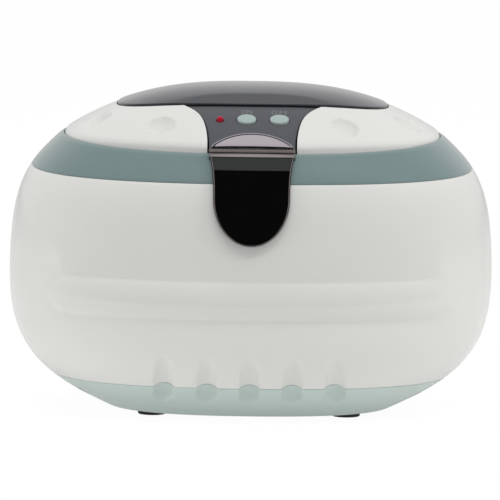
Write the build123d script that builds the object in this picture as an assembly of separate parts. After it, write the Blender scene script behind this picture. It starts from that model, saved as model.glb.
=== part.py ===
from build123d import *
from math import atan, degrees, hypot
import os

os.makedirs("parts", exist_ok=True)

# Household ultrasonic bath, free-standing, with a hinged lid. Millimetres, +Z up, front at -Y,
# origin on the table under the middle of the housing.

# Housing: one barrel curve, cut into base cover, body and top ring
UP = (Align.CENTER, Align.CENTER, Align.MIN)  # a solid that stands on its place
FULLNESS = 0.6645  # handle length of the plan's Bezier quarters, a superellipse of power 2.4
DEPTH_RATIO = 0.735  # depth over width of the plan at every height
SIDE_CURVE = (  # height, half width
    (2, 59.3),
    (9, 73.3),
    (16, 84.2),
    (28, 95.2),
    (44, 101),
    (62, 102.1),
    (82, 100.8),
    (96, 97.3),
    (107, 90.8),
    (117, 81),
)
BASE_Z = 2
BODY_Z = 16
RING_Z = 104
LID_Z = 117
WALL = 2.4
SEAT = 0.2  # gap under curved faces that are glued or clipped
FIT = 0.3  # gap round pieces that slide or turn

# Lid dome: height falls from the crown by a power curve each way
CROWN_Z = 138
DOME_FALL = 20.9
DOME_X, DOME_Y = 81, 60
POWER_X, POWER_Y = 2.65, 2.4
LID_X, LID_Y = 79.5, 58.4
WINDOW_X, WINDOW_Y, WINDOW_FULLNESS = 58.5, 32.5, 0.71
WINDOW_PROUD = 0.7
WINDOW_THICK = 2.2

# Console stem, half outline in plan: half width at depth, flared to the back
CONSOLE_SIDE = ((18.2, -62), (18.2, -54), (19.2, -46), (20.9, -39.6), (24.4, -31.8), (28.2, -26))
CONSOLE_BACK_Y = -28.5
CONSOLE_SUNK = 0.7
NOTCH_GAP = 0.8
TONGUE_HALF, TONGUE_TOP_HALF = 16.2, 18.4
TONGUE_TOP_Z, TONGUE_ROUND_Z, TONGUE_TIP_Z = 115.8, 98, 78
ROUND = 0.5523  # Bezier handle of a quarter ellipse
LIP_HALF, LIP_Y0, LIP_Y1 = 17.8, -57.4, -50.4
PLATE_TOP_Z = 109
TONGUE_OUT = 2.9
NOSE_TOP_Z = 118.6

# Switch places on the console (x, y), and their sizes
SWITCH_Y = -42.4
ON_X, OFF_X, LED_X = -1.9, 11.9, -13.1
BUTTON_HALF_X, BUTTON_HALF_Y = 4.1, 3.3

# Tank and basket
DECK_Z = 111
TANK_X, TANK_Y, TANK_Y0 = 71, 35, 8.5
TANK_FLOOR_Z = 55
TANK_SHEET = 0.8
FLANGE = 4
BASKET_X, BASKET_Y = 67, 31
BASKET_FLOOR_Z, BASKET_TOP_Z = 62, 104

# Feet, screws, hinge
FOOT_X, FOOT_Y, FOOT_R = 41, 22, 6
BOSS_X, BOSS_Y, BOSS_R = 70, 20, 4.5
HINGE_X, HINGE_Y, HINGE_Z = 28, 64.5, 118.5
KNUCKLE_R, PIN_R = 3.3, 1.5
LUG_W, EAR_W = 7, 3


def plan(half_x, half_y, z=0, fullness=FULLNESS, y=0):
    """Face with a superelliptic outline at height z."""
    kx, ky = half_x * fullness, half_y * fullness
    east, north, west, south = (half_x, 0), (0, half_y), (-half_x, 0), (0, -half_y)
    edges = [
        Bezier(east, (half_x, ky), (kx, half_y), north),
        Bezier(north, (-kx, half_y), (-half_x, ky), west),
        Bezier(west, (-half_x, -ky), (-kx, -half_y), south),
        Bezier(south, (kx, -half_y), (half_x, -ky), east),
    ]
    return Pos(0, y, z) * make_face(edges)


def barrel(grow=0.0, curve=SIDE_CURVE):
    """The whole housing curve as a solid, each plan grown by the given amount."""
    return loft([plan(x + grow, DEPTH_RATIO * x + grow, z) for z, x in curve])


def between(z0, z1, size=300):
    """A block that keeps everything from height z0 to z1."""
    return Pos(0, 0, z0) * Box(size, size, z1 - z0, align=UP)


def dome_height(x, y):
    return CROWN_Z - DOME_FALL * (abs(x / DOME_X) ** POWER_X + abs(y / DOME_Y) ** POWER_Y)


def dome(rise=0.0, height=dome_height):
    """Everything under the lid's dome, or another height surface, raised by the given amount."""
    columns = [6 * i for i in range(-15, 16)]
    rows = [5.5 * i for i in range(-13, 14)]
    points = [[(x, y, height(x, y) + rise) for y in rows] for x in columns]
    surface = Face.make_surface_from_array_of_points(points)
    return extrude(surface, amount=70, dir=(0, 0, -1))


def prism(face, z0, z1):
    """A flat plan extruded from z0 to z1."""
    return extrude(Pos(0, 0, z0) * face, amount=z1 - z0)


def console_plan(grow=0.0):
    """Plan of the console stem, its outline moved outwards by the given amount."""
    front_w, front_y = CONSOLE_SIDE[0]
    points = []
    for (w0, y0), (w1, y1) in zip(CONSOLE_SIDE, CONSOLE_SIDE[1:]):
        run = hypot(w1 - w0, y1 - y0)
        points.append((w1 + grow * (y1 - y0) / run, y1 - grow * (w1 - w0) / run))
    back_y = CONSOLE_BACK_Y + grow
    corner = (points[-1][0], CONSOLE_SIDE[-1][1] + grow)
    flank = Spline(points[:-1] + [corner])
    start, second = (front_w + grow, front_y - grow), points[0]
    edges = [
        flank,
        ThreePointArc(corner, (0, back_y), (-corner[0], corner[1])),
        mirror(flank, about=Plane.YZ),
        Polyline((-second[0], second[1]), (-start[0], start[1]), start, second),
    ]
    return make_face(edges)


def tank_plan(grow=0.0):
    return plan(TANK_X + grow, TANK_Y + grow, y=TANK_Y0)


def basket_plan(grow=0.0):
    return plan(BASKET_X + grow, BASKET_Y + grow, y=TANK_Y0)


def window_plan(grow=0.0):
    return plan(WINDOW_X + grow, WINDOW_Y + grow, fullness=WINDOW_FULLNESS)


def lip_plan(grow=0.0):
    """Lens-shaped plan of the front piece's lip."""
    left, right = (-LIP_HALF - grow, LIP_Y0 - grow), (LIP_HALF + grow, LIP_Y0 - grow)
    return make_face([ThreePointArc(left, (0, LIP_Y1 + grow), right), Line(right, left)])


def tongue_front(shrink=0.0, top_z=115.8):
    """Front outline of the tongue, moved inwards by the given amount, cut off at top_z."""
    half, top_half = TONGUE_HALF - shrink, TONGUE_TOP_HALF - shrink
    tip_z = TONGUE_TIP_Z + shrink
    tip_rise = TONGUE_ROUND_Z - tip_z
    flare = Bezier((top_half, TONGUE_TOP_Z), (half + 0.6, 111), (half, 107.5), (half, TONGUE_ROUND_Z))
    tip = Bezier(
        (half, TONGUE_ROUND_Z), (half, TONGUE_ROUND_Z - ROUND * tip_rise), (ROUND * half, tip_z), (0, tip_z)
    )
    edges = [flare, tip, mirror(tip, about=Plane.YZ), mirror(flare, about=Plane.YZ)]
    face = make_face(edges + [Line((-top_half, TONGUE_TOP_Z), (top_half, TONGUE_TOP_Z))])
    return extrude(Plane.XZ * face, amount=90) & between(TONGUE_TIP_Z - 5, top_z)


def panel_place(x, drop=0.0):
    """A place in the switch row on the console's sloping top, its Z along the surface normal."""
    slope = DOME_FALL * POWER_Y / DOME_Y * abs(SWITCH_Y / DOME_Y) ** (POWER_Y - 1)
    row = Pos(0, SWITCH_Y, dome_height(0, SWITCH_Y) - CONSOLE_SUNK) * Rot(degrees(atan(slope)), 0, 0)
    return row * Pos(x, 0, -drop)


def back_block(width, height, depth):
    """A rounded block that runs forward (-Y) from the origin."""
    return extrude(Plane.XZ * RectangleRounded(width, height, 2), amount=depth)


def save(name, *solids):
    """One STEP file for one node."""
    shape = solids[0] if len(solids) == 1 else Compound(children=list(solids))
    shape.label = name
    export_step(shape, f"parts/{name}.step")
    print(name, round(shape.volume), len(shape.solids()))


hull = barrel()
hollow = barrel(-WALL)
dome_top = dome()

# Flutes: round-ended scoops up the front, across base cover and body. Each is cut by a ball that
# runs along a straight line and leaves the barrel's face at the top
FLUTE_COUNT, FLUTE_PITCH, FLUTE_R, FLUTE_WALL = 5, 18.05, 5, 2
FLUTE_LOW, FLUTE_HIGH = (-60.4, 11.2), (-76.1, 29.7)  # y and z of the ball's centre


def flute(grow=0.0):
    (y0, z0), (y1, z1) = FLUTE_LOW, FLUTE_HIGH
    along = Pos(0, y0, z0) * Rot(degrees(atan((y0 - y1) / (z1 - z0))), 0, 0)
    return along * (Sphere(FLUTE_R + grow) + Cylinder(FLUTE_R + grow, hypot(y1 - y0, z1 - z0), align=UP))


flute_xs = [FLUTE_PITCH * (i - (FLUTE_COUNT - 1) / 2) for i in range(FLUTE_COUNT)]
flutes = [Pos(x, 0, 0) * flute() for x in flute_xs]
flute_backs = [Pos(x, 0, 0) * flute(FLUTE_WALL) for x in flute_xs]
boss_places = [(x, y) for x in (-BOSS_X, BOSS_X) for y in (-BOSS_Y, BOSS_Y)]
bosses = []
for x, y in boss_places:
    rib = Pos(x * 1.3, y) * Box(abs(x) * 0.6, 3, 60)
    bosses.append(Pos(x, y) * Cylinder(BOSS_R, 60) + rib)

# Body shell: barrel slice with a raised bar across the front
BAR_HALF, BAR_Z0, BAR_Z1 = 86, 46.5, 62.5
BAR_CURVE = ((44, 101), (46.5, 101.4), (50, 103.4), (55, 104.2), (60, 104), (62.2, 103.5), (64, 102))
bar_ends = Plane.XZ * Pos(0, (BAR_Z0 + BAR_Z1) / 2) * SlotOverall(2 * BAR_HALF, BAR_Z1 - BAR_Z0)
bar = barrel(0.0, BAR_CURVE) & extrude(bar_ends, amount=90)
body = hull & between(BODY_Z, RING_Z)
body += bar
cavity = hollow & between(BODY_Z - 1, RING_Z + 1)
body -= cavity - flute_backs
body += [boss & hollow & between(BODY_Z, BODY_Z + 14) for boss in bosses]
body -= flutes
body -= [Pos(x, y, BODY_Z) * Cylinder(1.25, 22) for x, y in boss_places]

# Rear inlet pocket of the body
INLET_Z, INLET_W, INLET_H, INLET_SEAT_Y = 34, 22, 13, 64
collar = Pos(0, 90, INLET_Z) * back_block(INLET_W + 6, INLET_H + 6, 90 - INLET_SEAT_Y)
body += collar & barrel(-WALL / 2)
body -= Pos(0, 90, INLET_Z) * back_block(INLET_W + FIT, INLET_H + FIT, 40)
save("body_shell", body)

# Base cover: tray with foot pockets, screw towers, board posts and vent slots
FLOOR = 2.6
base = hull & between(BASE_Z, BODY_Z)
base -= (hollow & between(BASE_Z + FLOOR, BODY_Z + 1)) - flute_backs
base += [boss & hull & between(BASE_Z, BODY_Z) for boss in bosses]
base -= flutes
for x, y in boss_places:
    base -= Pos(x, y, 5) * Cylinder(1.7, 30)
    base -= Pos(x, y, 5) * Cylinder(3.2, 14)
for x in (-FOOT_X, FOOT_X):
    for y in (-FOOT_Y, FOOT_Y):
        base -= Pos(x, y, BASE_Z) * Cylinder(FOOT_R + 0.1, 2)
        base -= Pos(x, y, 5) * Cylinder(2.1, 10)
for i in range(-3, 4):
    base -= Pos(7 * i, 0, -5) * extrude(SlotOverall(26, 2.6, rotation=90), amount=20)
BOARD_X, BOARD_L, BOARD_W, BOARD_Z, POST_INSET = -41, 62, 34, 12, 3.5
post_x, post_y = BOARD_W / 2 - POST_INSET, BOARD_L / 2 - POST_INSET
post_places = [(BOARD_X + i * post_x, j * post_y) for i in (-1, 1) for j in (-1, 1)]
for x, y in post_places:
    base += Pos(x, y, BASE_Z + FLOOR / 2) * Cylinder(3, BOARD_Z - BASE_Z - FLOOR / 2, align=UP)
    base -= Pos(x, y, BOARD_Z) * Cylinder(1.1, 12)
save("base_cover", base)

feet = []
for x in (-FOOT_X, FOOT_X):
    for y in (-FOOT_Y, FOOT_Y):
        pad = Pos(x, y, 0) * Cylinder(FOOT_R, 3, align=UP)
        pad = chamfer(pad.edges().sort_by(Axis.Z)[0], 0.6)
        feet.append(pad + Pos(x, y, 4) * Cylinder(1.9, 4))
save("feet", *feet)

screws = []
for x, y in boss_places:
    head = Pos(x, y, 12 - 1.2) * Cylinder(2.9, 2.4)
    head -= Pos(x, y, 9.8) * Box(4, 0.8, 1.2) + Pos(x, y, 9.8) * Box(0.8, 4, 1.2)
    screws.append(head + Pos(x, y, 18) * Cylinder(1.2, 12.2))
save("base_screws", *screws)

# Trim ring: outer wall, lip, recessed deck with the tank opening, rear hinge ears
RECESS = 2.5
RING_WALL = 4.4
ring = hull & between(RING_Z, LID_Z)
ring -= prism(plan(LID_X - RECESS, LID_Y - RECESS), DECK_Z, LID_Z + 1)
ring_hollow = barrel(-RING_WALL)
ring -= ring_hollow & between(RING_Z - 1, DECK_Z - 2.4)
ring -= prism(tank_plan(TANK_SHEET + FIT), 100, 120)
ring += (barrel(-WALL - FIT) & between(RING_Z - 3, RING_Z + 0.5)) - ring_hollow
ring -= Pos(0, -44, DECK_Z) * Cylinder(4, 10)
ears = []
for x in (-HINGE_X, HINGE_X):
    for side in (-1, 1):
        ear_x = x + side * (LUG_W / 2 + FIT + EAR_W / 2)
        ear = Pos(ear_x, HINGE_Y, HINGE_Z) * Rot(0, 90, 0) * Cylinder(KNUCKLE_R, EAR_W)
        ear += Pos(ear_x, HINGE_Y - 1.5, HINGE_Z - 4) * Box(EAR_W, 2 * KNUCKLE_R + 3, 8)
        ears.append(ear & (between(0, 200) - prism(plan(LID_X + 1, LID_Y + 1), LID_Z, 130)))
ring += [ear - hollow for ear in ears]
hinge_places = [Pos(x, HINGE_Y, HINGE_Z) * Rot(0, 90, 0) for x in (-HINGE_X, HINGE_X)]
ring -= [place * Cylinder(PIN_R + 0.05, 20) for place in hinge_places]
save("trim_ring", ring)
pin_length = LUG_W + 2 * FIT + 2 * EAR_W
save("hinge_pins", *[place * Cylinder(PIN_R, pin_length) for place in hinge_places])

# Tank: drawn sheet with a flange on the deck, sealed by a flat gasket
GASKET, TANK_CORNER = 0.6, 8
flange_z = DECK_Z + GASKET
stack_top = TANK_FLOOR_Z - TANK_SHEET
tank = prism(tank_plan(FLANGE), flange_z, flange_z + TANK_SHEET)
tank_out = prism(tank_plan(TANK_SHEET), stack_top, flange_z)
tank_in = prism(tank_plan(), TANK_FLOOR_Z, flange_z + 5)
tank += fillet(tank_out.edges().group_by(Axis.Z)[0], TANK_CORNER + TANK_SHEET)
tank -= fillet(tank_in.edges().group_by(Axis.Z)[0], TANK_CORNER)
save("tank", tank)
save("tank_gasket", prism(tank_plan(FLANGE - 0.5) - tank_plan(TANK_SHEET + FIT), DECK_Z, flange_z))

# Transducer, bolted stack under the tank floor
PIEZO_R, PIEZO_HOLE, PIEZO_THICK, PLATE = 17.5, 7, 5, 0.4
FRONT_H, REAR_H, BOLT_R = 14, 12, 4


def ring_disc(z, height, radius, bore):
    disc = Cylinder(radius, height, align=UP) - Cylinder(bore, 3 * height)
    return Pos(0, TANK_Y0, z) * disc


front_z = stack_top - FRONT_H
front_mass = Pos(0, TANK_Y0, front_z) * Cone(PIEZO_R + 0.5, PIEZO_R + 5, FRONT_H, align=UP)
front_mass -= Pos(0, TANK_Y0, front_z) * Cylinder(BOLT_R, 18)
save("front_mass", front_mass)
plates, piezos, tabs = [], [], []
TAB_X = PIEZO_R + 3
level = front_z
for i in range(2):
    level -= PLATE
    plate = ring_disc(level, PLATE, PIEZO_R, PIEZO_HOLE)
    tabs.append(Pos((2 * i - 1) * TAB_X, TANK_Y0, level))
    plates.append(plate + tabs[i] * Box(8, 5, PLATE, align=UP))
    level -= PIEZO_THICK
    piezos.append(ring_disc(level, PIEZO_THICK, PIEZO_R, PIEZO_HOLE))
save("electrodes", *plates)
save("piezo_rings", *piezos)
rear_z = level - REAR_H
rear_mass = ring_disc(rear_z, REAR_H, PIEZO_R, BOLT_R + 0.2)
save("rear_mass", chamfer(rear_mass.edges().group_by(Axis.Z)[0].filter_by(GeomType.CIRCLE)[-1], 1))
hexagon = extrude(RegularPolygon(6.5, 6), amount=-5)
bolt = Pos(0, TANK_Y0, rear_z) * hexagon
bolt += Pos(0, TANK_Y0, rear_z) * Cylinder(BOLT_R - 0.1, front_z + 8.8 - rear_z, align=UP)
save("transducer_bolt", bolt)

# Driver board on four posts, with its larger components
BOARD_T = 1.6
board = Pos(BOARD_X, 0, BOARD_Z + BOARD_T / 2) * Box(BOARD_W, BOARD_L, BOARD_T)
board -= [Pos(x, y, BOARD_Z) * Cylinder(1.4, 10) for x, y in post_places]
save("power_board", board)
board_screws = []
for x, y in post_places:
    top = BOARD_Z + BOARD_T
    board_screws.append(Pos(x, y, top + 0.8) * Cylinder(2.4, 1.6) + Pos(x, y, top - 2.5) * Cylinder(1, 5.2))
save("board_screws", *board_screws)
part_z = BOARD_Z + BOARD_T
core_place = Pos(BOARD_X, -12, part_z)
core = core_place * (Box(22, 19, 17, align=UP) - Pos(0, 0, 2.5) * Box(16, 30, 12, align=UP))
core += core_place * Pos(0, 0, 2.4) * Box(6, 7, 12.2, align=UP)
save("transformer_core", core)
coil = Box(15, 16, 11, align=UP) - Pos(0, 0, -1) * Box(6.2, 7.2, 20, align=UP)
winding = core_place * Pos(0, 0, 3) * coil
save("transformer_winding", fillet(winding.edges().filter_by(Axis.Z).group_by(Axis.X)[-1], 1.5))
can_places = [(BOARD_X - 9, 8, 5, 20), (BOARD_X - 9, 19, 4, 13)]
cans = []
for x, y, radius, height in can_places:
    can = Pos(x, y, part_z) * Cylinder(radius, height, align=UP)
    cans.append(fillet(can.edges().sort_by(Axis.Z)[-1], 0.8))
save("capacitors", *cans)
sink = Pos(BOARD_X + 5, 13, part_z) * Box(2, 16, 22, align=UP)
for i in range(5):
    sink += Pos(BOARD_X + 8.4, 6.5 + 3.25 * i, part_z) * Box(5, 1.2, 22, align=UP)
save("heat_sink", sink)
transistors = []
for y in (9, 17):
    chip = Pos(BOARD_X + 2.9, y, part_z + 6) * Box(2.2, 7, 10, align=UP)
    for leg in (-2, 0, 2):
        chip += Pos(BOARD_X + 2.9, y + leg, part_z) * Box(0.5, 0.7, 6, align=UP)
    transistors.append(chip)
save("transistors", *transistors)
FUSE_L, CAP_L, CAP_R = 16, 4, 2.6
fuse = Cylinder(CAP_R - 0.3, FUSE_L)
for end in (-1, 1):
    fuse += Pos(0, 0, end * (FUSE_L - CAP_L) / 2) * Cylinder(CAP_R, CAP_L)
save("fuse", Pos(BOARD_X, 5.5 - BOARD_L / 2, part_z + CAP_R) * Rot(0, 90, 0) * fuse)

# Power inlet at the back, two pins, clipped from inside against its collar
inlet = Pos(0, 71, INLET_Z) * back_block(INLET_W, INLET_H, 17)
inlet += Pos(0, INLET_SEAT_Y, INLET_Z) * back_block(INLET_W + 5, INLET_H + 5, 2)
inlet -= Pos(0, 72, INLET_Z) * extrude(Plane.XZ * SlotOverall(15, 7.6), amount=11)
PIN_SPAN = 8.6
pin_places = [Pos(x, 60, INLET_Z) * Rot(90, 0, 0) for x in (-PIN_SPAN / 2, PIN_SPAN / 2)]
inlet -= [place * Cylinder(1.2, 30) for place in pin_places]
save("power_inlet", inlet)
contacts = [place * Cylinder(1.15, 18) for place in pin_places]
save("inlet_pins", *[fillet(contact.edges().sort_by(Axis.Y)[-1], 0.7) for contact in contacts])

# Console stem: hollow tower from the deck to the dome, sunk under the window's front edge
PANEL_THICK = 3.2
stem_plan = console_plan()
console = prism(stem_plan, DECK_Z, 142) & dome(-CONSOLE_SUNK)
console &= between(LID_Z, 150) + prism(plan(LID_X - RECESS - FIT, LID_Y - RECESS - FIT), DECK_Z, LID_Z)
console -= prism(console_plan(-2), DECK_Z - 2, 142) & dome(-CONSOLE_SUNK - PANEL_THICK)
oval = Ellipse(BUTTON_HALF_X, BUTTON_HALF_Y)
for x in (ON_X, OFF_X):
    hole = Pos(0, 0, -6) * extrude(Ellipse(BUTTON_HALF_X + FIT, BUTTON_HALF_Y + FIT), amount=12)
    console -= panel_place(x) * hole
console -= panel_place(LED_X) * Cylinder(1.8, 12)
console -= prism(tank_plan(FLANGE + FIT), DECK_Z - 1, flange_z + TANK_SHEET)
window_low = WINDOW_PROUD - WINDOW_THICK
console -= prism(window_plan(NOTCH_GAP), 120, 142) - dome(window_low - NOTCH_GAP)
console -= prism(lip_plan(SEAT), 114, 142) - dome(-CONSOLE_SUNK - 1.2)
console -= Pos(0, LIP_Y0 + 0.1, LID_Z) * Box(50, 6, 8, align=(Align.CENTER, Align.MAX, Align.MIN))

BOARD_DROP = 10.4
for x in (-9.7, 5):
    console += panel_place(x, BOARD_DROP) * Cylinder(1.3, BOARD_DROP - 2, align=UP)
save("console_panel", console)

# Buttons with a retaining flange, their switches, the light and the board that carries them
for name, x in (("on_button", ON_X), ("off_button", OFF_X)):
    button = extrude(oval, amount=5)
    button = fillet(button.edges().sort_by(Axis.Z)[-1], 0.7)
    button += Pos(0, 0, -0.4) * extrude(Ellipse(BUTTON_HALF_X + 0.9, BUTTON_HALF_Y + 0.9), amount=0.9)
    button += Pos(0, 0, -1.6) * Cylinder(1.2, 2, align=UP)
    save(name, panel_place(x, 4.0) * button)
switches = []
for x in (ON_X, OFF_X):
    switch = Box(6, 6, 3.1, align=UP) + Cylinder(1.7, 3.9, align=UP)
    switches.append(panel_place(x, BOARD_DROP) * switch)
save("tact_switches", *switches)
light = Cylinder(1.9, 1, align=UP) + Cylinder(1.5, BOARD_DROP, align=UP) + Pos(0, 0, BOARD_DROP) * Sphere(1.5)
save("led", panel_place(LED_X, BOARD_DROP) * light)
save("control_board", panel_place(0, BOARD_DROP + BOARD_T) * Box(31, 13, BOARD_T, align=UP))

# Smoked front piece: lip on the console, nose over the ring's edge, tongue down the body
POCKET_RIM, TONGUE_GLASS, LIP_PROUD = 1.2, 1.6, 0.3
front_piece = tongue_front() & (barrel(TONGUE_OUT) - barrel(SEAT))
front_piece -= tongue_front(POCKET_RIM) & barrel(TONGUE_OUT - TONGUE_GLASS)
nose = Pos(0, LIP_Y0, TONGUE_TOP_Z - 0.4) * Box(
    2 * TONGUE_TOP_HALF, 6.2, NOSE_TOP_Z - TONGUE_TOP_Z + 0.4, align=(Align.CENTER, Align.MAX, Align.MIN)
)
nose = fillet(nose.edges().filter_by(Axis.X).group_by(Axis.Y)[0].sort_by(Axis.Z)[-1], 1.2)
ring_top = between(100, LID_Z + SEAT, 2 * (DEPTH_RATIO * SIDE_CURVE[-1][1] + SEAT))
front_piece += nose - barrel(SEAT) - ring_top
front_piece += prism(lip_plan(), 114, 142) & (dome(LIP_PROUD) - dome(-CONSOLE_SUNK - 1))
save("console_lens", front_piece)
plate = tongue_front(POCKET_RIM + FIT, PLATE_TOP_Z) & (barrel(1.1) - barrel(0.6))
save("label_plate", plate)

# Lid: dome shell with rim skirt, console notch, window seat, dimples and hinge lugs
LID_THICK = 2.8
lid = prism(plan(LID_X, LID_Y), LID_Z, 142) & (dome_top - dome(-LID_THICK))
skirt = prism(plan(LID_X - 4.2, LID_Y - 4.2) - plan(LID_X - 6, LID_Y - 6), LID_Z - 3.5, 142)
lid += skirt & dome(-0.5)
for x in (-HINGE_X, HINGE_X):
    lug = Pos(x, HINGE_Y, HINGE_Z - 1.1) * Box(LUG_W, 10.5, 3.6, align=(Align.CENTER, Align.MAX, Align.MIN))
    lug += Pos(x, HINGE_Y, HINGE_Z) * Rot(0, 90, 0) * Cylinder(KNUCKLE_R, LUG_W)
    lid += lug - Pos(x, HINGE_Y, HINGE_Z) * Rot(0, 90, 0) * Cylinder(PIN_R + 0.15, 20)
lid -= prism(console_plan(NOTCH_GAP), 110, 142)
lid -= prism(plan(50, 25, fullness=WINDOW_FULLNESS, y=2.5), 110, 142)
lid -= prism(window_plan(FIT), 110, 142) - dome(window_low - SEAT)
DIMPLE_R, DIMPLE_DEEP = 6.1, 1.6
ball = (DIMPLE_R**2 + DIMPLE_DEEP**2) / (2 * DIMPLE_DEEP)
for x, y in ((38.7, 43.6), (65.7, 19)):
    for sx in (-1, 1):
        for sy in (-1, 1):
            rise_x = DOME_FALL * POWER_X / DOME_X * (x / DOME_X) ** (POWER_X - 1)
            rise_y = DOME_FALL * POWER_Y / DOME_Y * (y / DOME_Y) ** (POWER_Y - 1)
            normal = Vector(sx * rise_x, sy * rise_y, 1).normalized()
            centre = Vector(sx * x, sy * y, dome_height(x, y)) + normal * (ball - DIMPLE_DEEP)
            lid -= Pos(*centre) * Sphere(ball)
save("lid_shell", lid)


def facet_height(x, y):
    """Flatter front facet of the window, straight in y and less curved in x than the dome."""
    fall_x = DOME_FALL * abs(x / DOME_X) ** POWER_X
    return CROWN_Z + WINDOW_PROUD - 1.88 + 0.324 * (y + 22) - 0.75 * fall_x


window = prism(window_plan(), 110, 142) & (dome(WINDOW_PROUD) - dome(window_low))
facet_back = Pos(0, -20, 100) * Box(200, 100, 60, align=(Align.CENTER, Align.MIN, Align.MIN))
window &= dome(0, facet_height) + facet_back
save("lid_window", window)

# Basket: slotted tray with a rolled rim, on four push-in feet
BASKET_WALL, BASKET_RIM, SLOT_PITCH, SLOT_W = 2, 2.2, 8, 3
BASKET_FOOT_X, BASKET_FOOT_Y, BASKET_FOOT_R, SPIGOT_R = 44, 12, 3, 1.4
basket = prism(basket_plan(), BASKET_FLOOR_Z, BASKET_TOP_Z)
basket -= prism(basket_plan(-BASKET_WALL), BASKET_FLOOR_Z + BASKET_WALL, BASKET_TOP_Z + 5)
basket += prism(basket_plan(BASKET_RIM) - basket_plan(-1), BASKET_TOP_Z - 2, BASKET_TOP_Z)
slot_z = (BASKET_FLOOR_Z + BASKET_TOP_Z) / 2 + 1
for i in range(-6, 7):
    floor_slot = Pos(SLOT_PITCH * i, TANK_Y0, BASKET_FLOOR_Z) * Box(SLOT_W, 40, 6)
    wall_slot = Pos(SLOT_PITCH * i, TANK_Y0, slot_z) * Box(SLOT_W, 2 * BASKET_Y + 20, 22)
    basket -= [floor_slot, wall_slot]
for i in (-1, 0, 1):
    basket -= Pos(0, TANK_Y0 + SLOT_PITCH * i, slot_z) * Box(2 * BASKET_X + 20, SLOT_W, 22)
basket_feet = []
for x in (-BASKET_FOOT_X, BASKET_FOOT_X):
    for y in (TANK_Y0 - BASKET_FOOT_Y, TANK_Y0 + BASKET_FOOT_Y):
        place = Pos(x, y, TANK_FLOOR_Z)
        basket -= place * Cylinder(SPIGOT_R + 0.05, 40)
        foot = place * Cylinder(BASKET_FOOT_R, BASKET_FLOOR_Z - TANK_FLOOR_Z, align=UP)
        foot = fillet(foot.edges().sort_by(Axis.Z)[0], 0.8)
        foot += place * Cylinder(SPIGOT_R, BASKET_FLOOR_Z + BASKET_WALL - TANK_FLOOR_Z, align=UP)
        basket_feet.append(foot)
save("basket", basket)
save("basket_feet", *basket_feet)

# Wires inside the housing, each from one terminal to the next
WIRE_R = 0.9


def wire(*points):
    runs = [hypot(*(b - a for a, b in zip(p, q))) for p, q in zip(points, points[1:])]
    radii = [0.4 * min(pair) for pair in zip(runs, runs[1:])]
    route = FilletPolyline(*points, radius=radii)
    return sweep(Plane(origin=route @ 0, z_dir=route % 0) * Circle(WIRE_R), path=route)


inner_pin_y = 60 - 9
board_top = BOARD_Z + BOARD_T
wires = [
    wire((side * PIN_SPAN / 2, inner_pin_y, INLET_Z), (side * PIN_SPAN / 2, inner_pin_y - 7, INLET_Z),
         (-22 + 3 * side, 34, 26), (BOARD_X + 3 * side, 27, 22), (BOARD_X + 3 * side, 27, board_top))
    for side in (-1, 1)
]
left_tab, right_tab = (tab.position for tab in tabs)
wires.append(
    wire((-26.5, -5, board_top), (-26.5, -5, 22), (left_tab.X - 2.5, TANK_Y0, 28),
         (left_tab.X - 2.5, TANK_Y0, left_tab.Z))
)
wires.append(
    wire((-26.5, 1, board_top), (-26.5, 1, 18), (-24, -8, 21), (0, -16, 22), (24, -8, 24),
         (right_tab.X + 2.5, TANK_Y0, 27), (right_tab.X + 2.5, TANK_Y0, right_tab.Z))
)
wires.append(
    wire((-27, -20, board_top), (-27, -20, 24), (-16, -46, 44), (-4, -50, 80), (0, -43, 104), (0, -42, 114.4))
)
save("wires", *wires)
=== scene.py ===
from math import atan, cos, exp, floor, hypot, log, pi, radians, sin, sqrt

import bmesh
import bpy
import numpy as np
from mathutils import Matrix, Vector


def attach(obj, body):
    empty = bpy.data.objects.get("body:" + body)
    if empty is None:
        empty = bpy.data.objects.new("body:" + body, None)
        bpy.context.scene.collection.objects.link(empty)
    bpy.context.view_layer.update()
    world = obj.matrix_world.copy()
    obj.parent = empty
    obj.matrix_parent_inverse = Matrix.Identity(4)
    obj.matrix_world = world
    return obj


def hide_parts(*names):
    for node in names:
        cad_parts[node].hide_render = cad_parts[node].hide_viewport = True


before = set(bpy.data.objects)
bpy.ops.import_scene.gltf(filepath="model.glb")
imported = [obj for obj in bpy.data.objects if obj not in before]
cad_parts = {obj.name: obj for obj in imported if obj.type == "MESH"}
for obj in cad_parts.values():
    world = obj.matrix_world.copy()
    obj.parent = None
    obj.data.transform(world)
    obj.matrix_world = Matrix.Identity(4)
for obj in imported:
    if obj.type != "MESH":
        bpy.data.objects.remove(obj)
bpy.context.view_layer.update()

# White body shell: a gloss plastic moulding with the barrel shape that the whole housing shares.
# It is pulled from one tool with the raised bar and the five flutes on its front, and stands on
# the base cover. All sizes are in millimetres until a mesh is finished.
MM = 0.001
FULLNESS, DEPTH_RATIO = 0.6645, 0.735
SIDE_CURVE = (  # height, half width
    (2, 59.3),
    (9, 73.3),
    (16, 84.2),
    (28, 95.2),
    (44, 101),
    (62, 102.1),
    (82, 100.8),
    (96, 97.3),
    (107, 90.8),
    (117, 81),
)
BASE_Z, BODY_Z, RING_Z, LID_Z, WALL = 2, 16, 103.5, 117, 2.4
BAR_HALF, BAR_Z, BAR_R, BAR_RISE = 86, 54.5, 8, 2.25
FLUTE_PITCH, FLUTE_R, FLUTE_DEEP, FLUTE_LOW_Z, FLUTE_HIGH_Z = 18.05, 5, 2.5, 12, 30
FLUTES_END_Z, BAR_START_Z, BAR_END_Z = 34, 45, 64  # where the rows' spacing changes
BAR_SOFT, FLUTE_SOFT, BAR_FULLNESS, BAR_LEAN, FLUTE_TAPER = 0.02, 0.16, 0.75, 0.1, 1.5


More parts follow.
